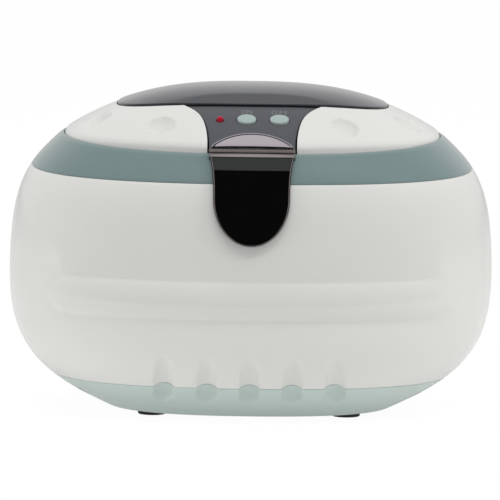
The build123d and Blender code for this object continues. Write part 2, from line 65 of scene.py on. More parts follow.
def natural_spline(points):
    """A smooth function through the given points."""
    xs, ys = np.array(points, dtype=float).T
    gaps, count = np.diff(xs), len(xs)
    matrix, bends = np.eye(count), np.zeros(count)
    for i in range(1, count - 1):
        matrix[i, i - 1 : i + 2] = gaps[i - 1], 2 * (gaps[i - 1] + gaps[i]), gaps[i]
        bends[i] = 6 * ((ys[i + 1] - ys[i]) / gaps[i] - (ys[i] - ys[i - 1]) / gaps[i - 1])
    bends = np.linalg.solve(matrix, bends)

    def at(x):
        i = int(min(max(np.searchsorted(xs, x) - 1, 0), count - 2))
        gap, after, before = gaps[i], x - xs[i], xs[i + 1] - x
        cubic = (bends[i] * before**3 + bends[i + 1] * after**3) / (6 * gap)
        low, high = ys[i] / gap - bends[i] * gap / 6, ys[i + 1] / gap - bends[i + 1] * gap / 6
        return cubic + low * before + high * after

    return at


side_curve = natural_spline(SIDE_CURVE)


def half_width(z):
    return min(side_curve(z), SIDE_CURVE[5][1])


def plan_point(turn, half_x, half_y, fullness=FULLNESS, mid_y=0):
    """A point of a rounded plan outline: turn 0 lies at +X, 1 at the back, 3 at the front."""
    quarter, t = int(floor(turn)) % 4, turn % 1
    s = 1 - t
    along = s**3 + 3 * s * s * t + 3 * s * t * t * fullness
    across = 3 * s * s * t * fullness + 3 * s * t * t + t**3
    x, y = ((along, across), (-across, along), (-along, -across), (across, -along))[quarter]
    return x * half_x, y * half_y + mid_y


def turns(rear, front):
    """Turns of the columns round an outline, closest together at the front."""
    steps = [i / rear for i in range(2 * rear)]
    steps += [2 + i / front + sin(pi * i / front) / (2 * pi) for i in range(front)]
    return steps + [3 + i / front - sin(pi * i / front) / (2 * pi) for i in range(front)]


def levels(start, end, step):
    """Evenly spaced values from start up to, but not including, end."""
    count = max(1, round(abs(end - start) / step))
    return [start + (end - start) * i / count for i in range(count)]


def barrel_point(turn, z, inset=0):
    width = half_width(z)
    x, y = plan_point(turn, width - inset, DEPTH_RATIO * width - inset)
    return Vector((x, y, z))


def barrel_normal(turn, z):
    z = min(max(z, BASE_Z + 0.1), LID_Z - 0.1)
    across = barrel_point(turn + 0.002, z) - barrel_point(turn - 0.002, z)
    return across.cross(barrel_point(turn, z + 0.1) - barrel_point(turn, z - 0.1)).normalized()


def soften(depth, edge):
    """The positive part of a depth, with a rounded edge where it starts."""
    return edge * log(1 + exp(depth / edge)) if depth < 20 * edge else depth


def relief(point):
    """How far the front stands out of the plain barrel at a point: the bar less the flutes."""
    if point.y > 0:
        return 0
    off_bar = hypot(max(abs(point.x) - (BAR_HALF - BAR_R), 0), point.z - BAR_Z) / BAR_R
    fullness = BAR_FULLNESS - BAR_LEAN * max(-1, min(1, (point.z - BAR_Z) / BAR_R))
    rise = BAR_RISE * soften(1 - off_bar**2, BAR_SOFT) ** fullness if off_bar < 1.15 else 0
    near = FLUTE_PITCH * max(-2, min(2, round(point.x / FLUTE_PITCH)))
    across = point.x - near
    below = max(FLUTE_LOW_Z - point.z, 0) * FLUTE_TAPER
    above = max(point.z - FLUTE_LOW_Z, 0) / (FLUTE_HIGH_Z - FLUTE_LOW_Z)
    reach = FLUTE_R**2 - across**2 - below**2
    if reach < 0 or above > 1.3:
        return rise
    deep = FLUTE_DEEP * (1 - above**4)
    return rise - soften(sqrt(reach) - FLUTE_R + deep, FLUTE_SOFT)


def housing_point(turn, row):
    z, inset = row
    point = barrel_point(turn, z, inset)
    return point + barrel_normal(turn, z) * relief(barrel_point(turn, z))


def skin(columns, rows, point, closed=True):
    """A grid bent round the object, one column for each turn and one row for each profile step."""
    bm = bmesh.new()
    across, up = len(columns), len(rows) if closed else len(rows) - 1
    bmesh.ops.create_grid(bm, x_segments=across, y_segments=up, size=0.5)
    for vert in bm.verts:
        column = round((vert.co.x + 0.5) * across) % len(columns)
        row = round((vert.co.y + 0.5) * up) % len(rows)
        vert.co = point(columns[column], rows[row])
    bmesh.ops.remove_doubles(bm, verts=bm.verts, dist=0.002)
    bmesh.ops.recalc_face_normals(bm, faces=bm.faces)
    return bm


def in_metres(bm, name):
    """Turns a millimetre mesh into an object."""
    bmesh.ops.scale(bm, vec=(MM, MM, MM), verts=bm.verts)
    mesh = bpy.data.meshes.new(name)
    bm.to_mesh(mesh)
    bm.free()
    piece = bpy.data.objects.new(name, mesh)
    bpy.context.scene.collection.objects.link(piece)
    return piece


def smooth_over(mesh, sharp=32):
    """Smooth shading that keeps the edges sharper than an angle."""
    mesh.shade_smooth()
    mesh.set_sharp_from_angle(angle=radians(sharp))


def finish_piece(bm, name, body, material, stands_for=(), sharp=32):
    """Turns a millimetre mesh into a finished piece that rides on a body."""
    piece = in_metres(bm, name)
    piece.data.materials.append(material)
    smooth_over(piece.data, sharp)
    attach(piece, body)
    if stands_for:
        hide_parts(*stands_for)
    return piece


def cut_away(piece, *cutters):
    """Cuts the cutters' shapes out of a piece, and removes the cutters."""
    for cutter in cutters:
        cut = piece.modifiers.new("cut", "BOOLEAN")
        cut.operation, cut.solver, cut.object = "DIFFERENCE", "EXACT", cutter
    evaluated = piece.evaluated_get(bpy.context.evaluated_depsgraph_get())
    mesh = bpy.data.meshes.new_from_object(evaluated)
    piece.modifiers.clear()
    piece.data = mesh
    smooth_over(mesh)
    for cutter in cutters:
        bpy.data.objects.remove(cutter)


def cutter_from(bm):
    bmesh.ops.recalc_face_normals(bm, faces=bm.faces)
    return in_metres(bm, "cutter")


def moved(bm, x=0, y=0, z=0):
    bmesh.ops.translate(bm, vec=(x, y, z), verts=bm.verts)
    return bm


def rounded_slab(outline, z0, z1):
    """A plan outline as a solid from z0 to z1."""
    bm = bmesh.new()
    face = bm.faces.new([bm.verts.new((x, y, z0)) for x, y in outline])
    top = bmesh.ops.extrude_face_region(bm, geom=[face])["geom"]
    raised = [part for part in top if isinstance(part, bmesh.types.BMVert)]
    bmesh.ops.translate(bm, vec=(0, 0, z1 - z0), verts=raised)
    return bm


def rounded_rectangle(half_x, half_y, radius):
    """Corner by corner outline of a rectangle with round corners."""
    outline = []
    for corner, (side_x, side_y) in enumerate(((1, 1), (-1, 1), (-1, -1), (1, -1))):
        for step in range(7):
            angle = pi / 2 * (corner + step / 6)
            x = side_x * (half_x - radius) + radius * cos(angle)
            y = side_y * (half_y - radius) + radius * sin(angle)
            outline.append((x, y))
    return outline


def tone(red, green, blue):
    """A colour given in screen values of 0 to 255."""
    return tuple(((v / 255 + 0.055) / 1.055) ** 2.4 for v in (red, green, blue)) + (1,)


def noise(tree, place, scale, detail):
    """A noise pattern that is read at a place."""
    pattern = tree.nodes.new("ShaderNodeTexNoise")
    pattern.inputs["Scale"].default_value = scale
    pattern.inputs["Detail"].default_value = detail
    tree.links.new(place, pattern.inputs["Vector"])
    return pattern.outputs["Fac"]


def vary(tree, colour, shade, tint_pattern, roughness, swing, gloss_pattern):
    """Lets a finish wander between two tones and about its mean roughness."""
    shader = tree.nodes["Principled BSDF"]
    blend = tree.nodes.new("ShaderNodeMix")
    blend.data_type = "RGBA"
    blend.inputs["A"].default_value = colour
    blend.inputs["B"].default_value = shade
    tree.links.new(tint_pattern, blend.inputs["Factor"])
    tree.links.new(blend.outputs["Result"], shader.inputs["Base Color"])
    gloss = tree.nodes.new("ShaderNodeMapRange")
    gloss.inputs["To Min"].default_value = roughness * (1 - swing)
    gloss.inputs["To Max"].default_value = roughness * (1 + swing)
    tree.links.new(gloss_pattern, gloss.inputs["Value"])
    tree.links.new(gloss.outputs["Result"], shader.inputs["Roughness"])


def emboss(tree, pattern, strength, height):
    """Raises and sinks a finish along a pattern."""
    bump = tree.nodes.new("ShaderNodeBump")
    bump.inputs["Strength"].default_value = strength
    bump.inputs["Distance"].default_value = height * MM
    tree.links.new(pattern, bump.inputs["Height"])
    tree.links.new(bump.outputs["Normal"], tree.nodes["Principled BSDF"].inputs["Normal"])


def moulded(name, colour, shade, roughness, coat=0.0, grain=0.0, grain_size=0.6, clouds=16):
    """Moulded plastic: faint clouds in the colour, uneven gloss and, if wanted, a fine grain."""
    material = bpy.data.materials.new(name)
    material.use_nodes = True
    tree = material.node_tree
    shader = tree.nodes["Principled BSDF"]
    shader.inputs["Coat Weight"].default_value = coat
    shader.inputs["Coat Roughness"].default_value = 0.03
    place = tree.nodes.new("ShaderNodeTexCoord").outputs["Object"]
    cloud, rub = noise(tree, place, clouds, 3), noise(tree, place, 90, 5)
    vary(tree, colour, shade, cloud, roughness, 0.25, rub)
    if grain:
        emboss(tree, noise(tree, place, 1 / (grain_size * MM), 2), grain, 0.05)
    return material


gloss_white = moulded("gloss_white", tone(230, 230, 226), tone(227, 227, 224), 0.12, coat=0.25)
EDGE = 0.45
body_rows = [(BODY_Z, EDGE), (BODY_Z + 0.3 * EDGE, 0.3 * EDGE)]
body_rows += [(z, 0) for z in levels(BODY_Z + EDGE, FLUTES_END_Z, 0.7)]
body_rows += [(z, 0) for z in levels(FLUTES_END_Z, BAR_START_Z, 1.5)]
body_rows += [(z, 0) for z in levels(BAR_START_Z, BAR_END_Z, 0.6)]
body_rows += [(z, 0) for z in levels(BAR_END_Z, RING_Z - EDGE, 1.8)] + [(RING_Z - EDGE, 0)]
body_rows += [(RING_Z - 0.3 * EDGE, 0.3 * EDGE), (RING_Z, EDGE)]
body_rows += [(z, WALL) for z in levels(RING_Z, BODY_Z, 6)] + [(BODY_Z, WALL)]
body = skin(turns(50, 150), body_rows, housing_point)
body_shell = finish_piece(body, "body_shell_skin", "housing", gloss_white, ["body_shell"])
INLET_Z, INLET_HALF_X, INLET_HALF_Z, INLET_ROUND, INLET_Y0, INLET_Y1 = 34, 11.2, 6.7, 2, 55, 85
inlet_plan = rounded_rectangle(INLET_HALF_X, INLET_HALF_Z, INLET_ROUND)
inlet_hole = rounded_slab(inlet_plan, 0, INLET_Y1 - INLET_Y0)
bmesh.ops.rotate(inlet_hole, matrix=Matrix.Rotation(pi / 2, 3, "X"), verts=inlet_hole.verts)
cut_away(body_shell, cutter_from(moved(inlet_hole, 0, INLET_Y1, INLET_Z)))

# Base cover: a paler grey-green moulding that closes the barrel from below, with the lower ends of
# the flutes, vent slots and the four recessed holes of its screws.
pale_green = moulded("pale_green", tone(200, 214, 209), tone(197, 210, 206), 0.2, coat=0.15)
FLOOR_THICK, BASE_ROUND = 2.6, 0.8
VENT_PITCH, VENT_HALF_X, VENT_HALF_Y, SCREW_HOLE_R = 7, 1.3, 13, 3.2
SCREW_PLACES = [(x, y) for x in (-70, 70) for y in (-20, 20)]


def base_point(turn, row):
    z, inset, fan = row
    point = housing_point(turn, (z, inset))
    return Vector((point.x * fan, point.y * fan, z if fan < 1 else point.z))


base_rows = [(BASE_Z, BASE_ROUND, fan / 10) for fan in range(11)] + [(BASE_Z + 0.25, 0.25, 1)]
base_rows += [(z, 0, 1) for z in levels(BASE_Z + BASE_ROUND, BODY_Z - EDGE, 0.6)]
base_rows += [(BODY_Z - EDGE, 0, 1), (BODY_Z - 0.3 * EDGE, 0.3 * EDGE, 1), (BODY_Z, EDGE, 1)]
base_rows += [(BODY_Z, WALL, 1)]
base_rows += [(z, WALL, 1) for z in levels(BODY_Z - 2, BASE_Z + FLOOR_THICK, 2)]
base_rows += [(BASE_Z + FLOOR_THICK, WALL, 1 - fan / 4) for fan in range(5)]
cover = skin(turns(50, 150), base_rows, base_point, closed=False)
base_cover = finish_piece(
    cover, "base_cover_skin", "housing", pale_green, ["base_cover"]
)
slot_plan = rounded_rectangle(VENT_HALF_X, VENT_HALF_Y, VENT_HALF_X)
hole_plan = rounded_rectangle(SCREW_HOLE_R, SCREW_HOLE_R, SCREW_HOLE_R - 0.01)
cutters = []
for i in range(-3, 4):
    cutters.append(cutter_from(moved(rounded_slab(slot_plan, -2, 8), VENT_PITCH * i)))
for x, y in SCREW_PLACES:
    cutters.append(cutter_from(moved(rounded_slab(hole_plan, -2, 18), x, y)))
cut_away(base_cover, *cutters)

# Feet: four round pads of black rubber, moulded with a rounded lower edge that wear has softened,
# and pushed into the base cover.
rubber = moulded("foot_rubber", tone(42, 42, 43), tone(34, 34, 35), 0.7, grain=0.5, grain_size=0.4)
FOOT_PLACES = [(x, y) for x in (-41, 41) for y in (-22, 22)]
FOOT_R, FOOT_H, FOOT_WORN, FOOT_EDGE = 6, 3, 0.7, 0.2


def turned(profile, steps, scale_y=1.0):
    """A profile of (radius, height) points spun once round Z."""
    bm = bmesh.new()
    verts = [bm.verts.new((r, 0, z)) for r, z in profile]
    edges = [bm.edges.new(pair) for pair in zip(verts, verts[1:])]
    bmesh.ops.spin(bm, geom=verts + edges, axis=(0, 0, 1), cent=(0, 0, 0), angle=2 * pi, steps=steps,
                   use_merge=True)
    bmesh.ops.remove_doubles(bm, verts=bm.verts, dist=0.001)
    bmesh.ops.scale(bm, vec=(1, scale_y, 1), verts=bm.verts)
    bmesh.ops.recalc_face_normals(bm, faces=bm.faces)
    return bm


def rounded_profile(radius, low, high, low_round, high_round, top_rise=0.0):
    """Half section of a round pad or button with rounded edges and a slightly domed top."""
    profile = [(0, low)]
    for i in range(6):
        angle = pi / 2 * i / 5
        profile.append((radius - low_round * (1 - sin(angle)), low + low_round * (1 - cos(angle))))
    for i in range(6):
        angle = pi / 2 * i / 5
        profile.append((radius - high_round * (1 - cos(angle)), high - high_round * (1 - sin(angle))))
    inner = radius - high_round
    profile += [(inner * (1 - i / 8), high + top_rise * (1 - (1 - i / 8) ** 2)) for i in range(1, 9)]
    return profile


def joined(parts):
    """Several meshes as one, each moved by its own matrix."""
    whole = bmesh.new()
    for bm, place in parts:
        bmesh.ops.transform(bm, matrix=place, verts=bm.verts)
        mesh = bpy.data.meshes.new("part")
        bm.to_mesh(mesh)
        bm.free()
        whole.from_mesh(mesh)
        bpy.data.meshes.remove(mesh)
    return whole


pads = []
for x, y in FOOT_PLACES:
    pad = turned(rounded_profile(FOOT_R, 0, FOOT_H, FOOT_WORN, FOOT_EDGE), 48)
    pads.append((pad, Matrix.Translation((x, y, 0))))
finish_piece(joined(pads), "rubber_feet", "housing", rubber, ["feet"])

# Trim ring: a grey-green gloss moulding clipped onto the body. It has a rounded lip under the lid,
# a recessed deck that carries the tank, and two pairs of hinge ears at the back.
trim_green = moulded("trim_green", tone(127, 145, 145), tone(122, 141, 141), 0.17, coat=0.2)
LIP, LIP_TOP, LIP_DIP, LIP_WIDENS, RECESS, RING_WALL = 1.5, 117.3, 2, 1.6, 2.5, 4.4
DECK_Z, DECK_LOW_Z, TANK_GAP = 111, 108.6, 1.1
LID_X, LID_Y, LID_GAP, LID_SEAT = 79.5, 58.4, 0.2, 2.5
TANK_X, TANK_Y, TANK_Y0 = 71, 35, 8.5


def lip_top(turn):
    """Height of the ring's lip, which dips at the front and the back."""
    return LIP_TOP - LIP_DIP * (plan_point(turn, LID_X, LID_Y)[1] / LID_Y) ** 2


def ring_point(turn, row):
    """Row (kind, z, inset): a z above zero is a height, any other is measured from the lip's top."""
    kind, z, inset = row
    z = z if z > 0 else lip_top(turn) + z
    if kind == "wall":
        x, y, _ = barrel_point(turn, min(z, LID_Z), inset)
    elif kind == "lip":
        x, y, _ = barrel_point(turn, min(z, LID_Z))
        inset *= 1 + LIP_WIDENS * (y / LID_Y) ** 2
        x, y = x * (1 - inset / LID_X), y * (1 - inset / LID_Y)
    elif kind == "recess":
        x, y = plan_point(turn, LID_X - inset, LID_Y - inset)
    else:
        x, y = plan_point(turn, TANK_X + inset, TANK_Y + inset, mid_y=TANK_Y0)
    return Vector((x, y, z))


ring_rows = [("wall", RING_Z, EDGE), ("wall", RING_Z + 0.3 * EDGE, 0.3 * EDGE)]
ring_rows += [("wall", z, 0) for z in levels(RING_Z + EDGE, LIP_TOP - LIP_DIP - LIP, 1)]
for i in range(9):
    bend = pi / 2 * i / 8
    ring_rows.append(("lip", -LIP * (1 - sin(bend)), 0.45 * LIP * (1 - cos(bend))))
ring_rows += [("recess", 0, -LID_GAP - 0.1), ("recess", -0.2, -LID_GAP)]
ring_rows += [("recess", -LID_SEAT, -LID_GAP), ("recess", -LID_SEAT, RECESS)]
ring_rows += [("recess", DECK_Z + 0.5, RECESS), ("recess", DECK_Z, RECESS + 0.5)]
ring_rows += [("tank", DECK_Z, TANK_GAP), ("tank", DECK_LOW_Z, TANK_GAP)]
ring_rows += [("wall", DECK_LOW_Z, RING_WALL), ("wall", RING_Z, RING_WALL)]
ring = skin(turns(50, 110), ring_rows, ring_point)
finish_piece(ring, "trim_ring_skin", "housing", trim_green, ["trim_ring"])
HINGE_X, HINGE_Y, HINGE_Z, KNUCKLE_R, LUG_W, EAR_W, FIT = 28, 64.5, 118.5, 3.3, 7, 3, 0.3
EAR_ARM, LUG_ARM = (5.5, -5.2, 6.4), (8.6, 0.7, 3.4)  # length, rise and height


def bevelled(bm, edges, width, segments):
    """Rounds the given edges of a mesh."""
    bmesh.ops.bevel(
        bm, geom=edges, offset=width, segments=segments, profile=0.5, affect="EDGES", material=-1
    )


def knuckle(width, length, rise, height):
    """A hinge knuckle along X with the arm that joins it to its piece."""
    profile = rounded_profile(KNUCKLE_R, -width / 2, width / 2, 0.4, 0.4)
    barrel = turned(profile, 40)
    lying = Matrix.Rotation(pi / 2, 4, "Y")
    arm = bmesh.new()
    bmesh.ops.create_cube(arm, size=1)
    bmesh.ops.scale(arm, vec=(width - 0.1, length, height), verts=arm.verts)
    bevelled(arm, arm.edges[:], 0.35, 3)
    return [(barrel, lying), (arm, Matrix.Translation((0, -length / 2, rise)))]


ears, lugs = [], []
for x in (-HINGE_X, HINGE_X):
    for side in (-1, 1):
        at = Matrix.Translation((x + side * (LUG_W / 2 + FIT + EAR_W / 2), HINGE_Y, HINGE_Z))
        ears += [(bm, at @ place) for bm, place in knuckle(EAR_W, *EAR_ARM)]
    at = Matrix.Translation((x, HINGE_Y, HINGE_Z))
    lugs += [(bm, at @ place) for bm, place in knuckle(LUG_W, *LUG_ARM)]
finish_piece(joined(ears), "hinge_ears", "housing", trim_green)
finish_piece(joined(lugs), "hinge_lugs", "lid", gloss_white)

# Lid shell: the white gloss dome, moulded with eight round dimples, a step that the window is glued
# into and a notch that clears the console stem when the lid swings.
CROWN_Z, DOME_FALL, DOME_X, DOME_Y, POWER_X, POWER_Y = 138, 20.9, 81, 60, 2.65, 2.4
WINDOW_X, WINDOW_Y, WINDOW_FULLNESS = 57.2, 32.5, 0.71
OPENING_X, OPENING_Y, OPENING_Y0 = 50, 25, 2.5
LID_THICK, SEAT_DROP = 3.4, 1.7
DIMPLES = [(sx * x, sy * y) for x, y in ((38.7, 43.6), (65.7, 19)) for sx in (-1, 1) for sy in (-1, 1)]
DIMPLE_R, DIMPLE_DEEP, DIMPLE_SOFT = 6.6, 3, 0.06
CONSOLE_SIDE = ((-62, 18.2), (-54, 18.2), (-46, 19.4), (-39, 21.9), (-31.8, 27.2), (-26, 32.6))
CONSOLE_FRONT_Y, CONSOLE_BACK_Y, CONSOLE_BOW, NOTCH_GAP = -62, -26, 2.5, 0.8


def dome_height(x, y):
    return CROWN_Z - DOME_FALL * (abs(x / DOME_X) ** POWER_X + abs(y / DOME_Y) ** POWER_Y)


def dome_normal(x, y):
    step = 0.05
    slope_x = (dome_height(x + step, y) - dome_height(x - step, y)) / (2 * step)
    slope_y = (dome_height(x, y + step) - dome_height(x, y - step)) / (2 * step)
    return Vector((-slope_x, -slope_y, 1)).normalized()


dimple_ball = (DIMPLE_R**2 + DIMPLE_DEEP**2) / (2 * DIMPLE_DEEP)
dimple_centres = [(Vector((x, y, dome_height(x, y))), dome_normal(x, y)) for x, y in DIMPLES]


def dimpled(point):
    """Presses the dome's round dimples into a point of its surface."""
    for centre, normal in dimple_centres:
        offset = point - centre
        if offset.length < DIMPLE_R + 1.5:
            flat = offset - normal * offset.dot(normal)
            bowl = sqrt(max(dimple_ball**2 - flat.length**2, 0)) - dimple_ball + DIMPLE_DEEP
            return point - normal * soften(bowl, DIMPLE_SOFT)
    return point


def lid_point(turn, row):
    """Row (spread, rise, foot): spread 1 is the rim, 0 the window's edge, -1 the lid's opening."""
    spread, rise, foot = row
    edge = plan_point(turn, WINDOW_X + FIT, WINDOW_Y + FIT, WINDOW_FULLNESS)
    if spread > 0:
        other = plan_point(turn, LID_X, LID_Y)
    else:
        other = plan_point(turn, OPENING_X, OPENING_Y, WINDOW_FULLNESS, OPENING_Y0)
    x, y = (a + (b - a) * abs(spread) for a, b in zip(edge, other))
    rim_z = lip_top(turn) - LID_SEAT + FIT + foot
    point = Vector((x, y, max(dome_height(x, y) + rise, rim_z)))
    return dimpled(point) if rise == 0 and spread > 0 else point


LID_BAND, LID_ROUND, DEEP = 24, 1.8, -40  # DEEP lies lower than all of the lid
lid_rows = [(-1, -LID_THICK, DEEP)] + [(i / 8, -LID_THICK, 0) for i in range(8)]
lid_rows += [(1 - EDGE / LID_BAND, DEEP, 0), (1, DEEP, EDGE / 2)]
for i in range(8):
    inset = LID_ROUND * (1 - cos(pi / 2 * i / 8))
    drop = LID_ROUND - sqrt(LID_ROUND**2 - (LID_ROUND - inset) ** 2)
    lid_rows.append((1 - inset / LID_BAND, -drop, DEEP))
lid_rows += [(spread, 0, DEEP) for spread in levels(1 - LID_ROUND / LID_BAND, 0.2 / LID_BAND, 0.023)]
lid_rows += [(0.008, 0, DEEP), (0.002, -0.1, DEEP), (0, -0.3, DEEP), (0, -SEAT_DROP, DEEP)]
lid_rows += [(-1, -SEAT_DROP, DEEP)]
lid = skin(turns(120, 180), lid_rows, lid_point)
lid_shell = finish_piece(lid, "lid_shell_skin", "lid", gloss_white, ["lid_shell"])
console_side = natural_spline(CONSOLE_SIDE)


def console_outline(grow=0.0):
    """The console stem's plan, from its front right corner round to the front left one."""
    back_y = CONSOLE_BACK_Y + grow
    right = [(console_side(y) + grow, y) for y in levels(CONSOLE_FRONT_Y, CONSOLE_BACK_Y, 1.2)]
    right.append((console_side(CONSOLE_BACK_Y) + grow, back_y))
    corner = right[-1][0]
    back = [(corner * (1 - i / 12), back_y - CONSOLE_BOW * sin(pi * i / 24)) for i in range(1, 12)]
    left = [(-x, y) for x, y in reversed(right + back)]
    front_half = console_side(CONSOLE_FRONT_Y)
    front = [(front_half * (i / 8 - 1), CONSOLE_FRONT_Y - grow) for i in range(1, 16)]
    return right + back + [(0, back_y - CONSOLE_BOW)] + left + front


NOTCH_LOW_Z, NOTCH_HIGH_Z = 105, 145
notch = rounded_slab(console_outline(NOTCH_GAP), NOTCH_LOW_Z, NOTCH_HIGH_Z)
cut_away(lid_shell, cutter_from(notch))
SKIRT_X, SKIRT_Y, SKIRT_WALL, SKIRT_LOW_Z, SKIRT_TOP_Z = 73.5, 52.4, 1.8, 113.5, 118
skirt_rows = [(SKIRT_WALL, SKIRT_LOW_Z), (SKIRT_WALL, SKIRT_TOP_Z), (0, SKIRT_TOP_Z), (0, SKIRT_LOW_Z)]


def skirt_point(turn, row):
    grow, z = row
    return Vector((*plan_point(turn, SKIRT_X + grow, SKIRT_Y + grow), z))


skirt = skin(turns(60, 80), skirt_rows, skirt_point)
lid_skirt = finish_piece(skirt, "lid_skirt", "lid", gloss_white)
notch = rounded_slab(console_outline(NOTCH_GAP), NOTCH_LOW_Z, NOTCH_HIGH_Z)
cut_away(lid_skirt, cutter_from(notch))

# Lid window: a smoked plastic dome, moulded with a flatter facet at its front, polished, and glued
# into the lid's step so that it stands a little proud.
WINDOW_PROUD, WINDOW_THICK, WINDOW_MEAN = 0.7, 2.2, 45
FACET_START_Y, FACET_Y, FACET_DROP, FACET_SLOPE = -12, -22, 1.88, 0.324
FACET_ROUND, FACET_SOFT = 0.75, 0.04


def smoked(name, colour, shade, roughness, clear=0.0, coat=0.3):
    """Smoked plastic: a tinted gloss surface with faint clouds in the tint."""
    material = moulded(name, colour, shade, roughness, coat, clouds=12)
    shader = material.node_tree.nodes["Principled BSDF"]
    shader.inputs["Transmission Weight"].default_value = clear
    shader.inputs["IOR"].default_value = 1.49
    return material


smoked_window = smoked("smoked_window", tone(62, 63, 69), tone(58, 59, 65), 0.1)


def facet_height(x, y):
    """The flatter front of the window."""
    fall_x = DOME_FALL * abs(x / DOME_X) ** POWER_X
    return CROWN_Z + WINDOW_PROUD - FACET_DROP + FACET_SLOPE * (y - FACET_Y) - FACET_ROUND * fall_x


def window_point(turn, row):
    spread, rise = row
    x, y = plan_point(turn, WINDOW_X * spread, WINDOW_Y * spread, WINDOW_FULLNESS)
    top = dome_height(x, y) + WINDOW_PROUD
    if y < FACET_START_Y:
        top -= soften(top - facet_height(x, y), FACET_SOFT)
    return Vector((x, y, top + rise if rise > -1 else dome_height(x, y) + rise))


window_rows = [(i / 64, 0) for i in range(64)]
for inset, drop in ((0.6, 0), (0.3, 0.08), (0.1, 0.25), (0, 0.5)):
    window_rows.append((1 - inset / WINDOW_MEAN, -drop))
window_rows += [(share, WINDOW_PROUD - WINDOW_THICK) for share in (1, 0.5, 0)]
window = skin(turns(70, 120), window_rows, window_point, closed=False)
finish_piece(window, "lid_window_skin", "lid", smoked_window, ["lid_window"])

# Window gap shadow: a thin black strip laid in the joint between the window and the lid. Its black
# is painted shade that stands in for the shadow in the gap.
# A black that stands in for shadow: painted shade for narrow gaps and grooves.
painted_shadow_black = moulded("painted_shadow_black", tone(20, 20, 22), tone(26, 26, 28), 0.5)
GAP_SHADOW_W, GAP_SHADOW_DEEP, GAP_SHADOW_RISE = FIT + 0.15, 1, 0.15
gap_shadow_rows = [(0, -GAP_SHADOW_DEEP), (0, GAP_SHADOW_RISE), (GAP_SHADOW_W, GAP_SHADOW_RISE), (GAP_SHADOW_W, -GAP_SHADOW_DEEP)]


def gap_shadow_point(turn, row):
    grow, rise = row
    x, y = plan_point(turn, WINDOW_X + grow, WINDOW_Y + grow, WINDOW_FULLNESS)
    return Vector((x, y, dome_height(x, y) + rise))


gap_shadow = skin(turns(70, 120), gap_shadow_rows, gap_shadow_point)
finish_piece(gap_shadow, "window_gap_shadow", "lid", painted_shadow_black)

# Console stem: a dark grey satin moulding that stands on the deck and flares towards the window,
# its top following the lid's dome. It carries the light and the two push buttons.
satin_grey = moulded("satin_grey", tone(91, 93, 98), tone(86, 88, 93), 0.38, grain=0.15, grain_size=0.25)
CONSOLE_SUNK, PANEL_EDGE, CONSOLE_MID_Y, CONSOLE_FOOT_Z = 0.7, 0.5, -44, 113
SWITCH_Y, ON_X, OFF_X, LED_X = -43, -2.5, 11.3, -13.7
BUTTON_X, BUTTON_Y, LED_R, WELL_DEEP = 4.1, 3.3, 1.5, 3.8
console_plan = console_outline()


def console_point(column, row):
    share, drop, foot_z = row
    x, y = console_plan[column]
    x, y = x * share, CONSOLE_MID_Y + (y - CONSOLE_MID_Y) * share
    return Vector((x, y, foot_z or dome_height(x, y) - CONSOLE_SUNK - drop))


console_rows = [(i / 24, 0, 0) for i in range(24)] + [(0.982, 0, 0), (0.993, 0.1, 0), (0.998, 0.25, 0)]
console_rows += [(1, PANEL_EDGE, 0), (1, 0, CONSOLE_FOOT_Z), (0, 0, CONSOLE_FOOT_Z)]
console = skin(range(len(console_plan)), console_rows, console_point, closed=False)
console_panel = finish_piece(
    console, "console_stem", "housing", satin_grey, ["console_panel"]
)


def panel_place(x, y=0.0, rise=0.0):
    """A place on the console's sloping top, its Z along the surface normal."""
    slope = DOME_FALL * POWER_Y / DOME_Y * abs(SWITCH_Y / DOME_Y) ** (POWER_Y - 1)
    row = Matrix.Translation((0, SWITCH_Y, dome_height(0, SWITCH_Y) - CONSOLE_SUNK))
    return row @ Matrix.Rotation(atan(slope), 4, "X") @ Matrix.Translation((x, y, rise))


holes = []
wells = ((ON_X, BUTTON_X, BUTTON_Y), (OFF_X, BUTTON_X, BUTTON_Y), (LED_X, LED_R, LED_R))
for x, half_x, half_y in wells:
    profile = [(0, -WELL_DEEP), (half_x + FIT, -WELL_DEEP), (half_x + FIT, 4), (0, 4)]
    hole = turned(profile, 64, (half_y + FIT) / (half_x + FIT))
    bmesh.ops.transform(hole, matrix=panel_place(x), verts=hole.verts)
    holes.append(cutter_from(hole))
cut_away(console_panel, *holes)

# Push buttons: pale grey-green caps, oval and slightly domed, each held by a flange under the panel
# and carried by its own small switch.
button_green = moulded("button_green", tone(172, 187, 184), tone(166, 181, 179), 0.25, coat=0.1)
CAP_LOW, CAP_HIGH, CAP_EDGE, CAP_DOME = -2.5, 0.95, 0.75, 0.25
cap_profile = rounded_profile(BUTTON_X, CAP_LOW, CAP_HIGH, 0.1, CAP_EDGE, CAP_DOME)
for name, node, x in (("on_cap", "on_button", ON_X), ("off_cap", "off_button", OFF_X)):
    cap = turned(cap_profile, 72, BUTTON_Y / BUTTON_X)
    bmesh.ops.transform(cap, matrix=panel_place(x), verts=cap.verts)
    finish_piece(cap, name, node.replace("button", "switch"), button_green, [node])

# Power light: a red resin dome, cast with a smooth round end, that stands through its hole in the
# panel.
light_red = moulded("light_red", tone(198, 30, 62), tone(168, 20, 46), 0.12, coat=0.6)
led_profile = [(0, CAP_LOW), (LED_R, CAP_LOW)]
led_profile += [(LED_R * cos(pi * i / 16), LED_R * sin(pi * i / 16)) for i in range(9)]
light = turned(led_profile, 40)
bmesh.ops.transform(light, matrix=panel_place(LED_X), verts=light.verts)
finish_piece(light, "power_light", "housing", light_red, ["led"])

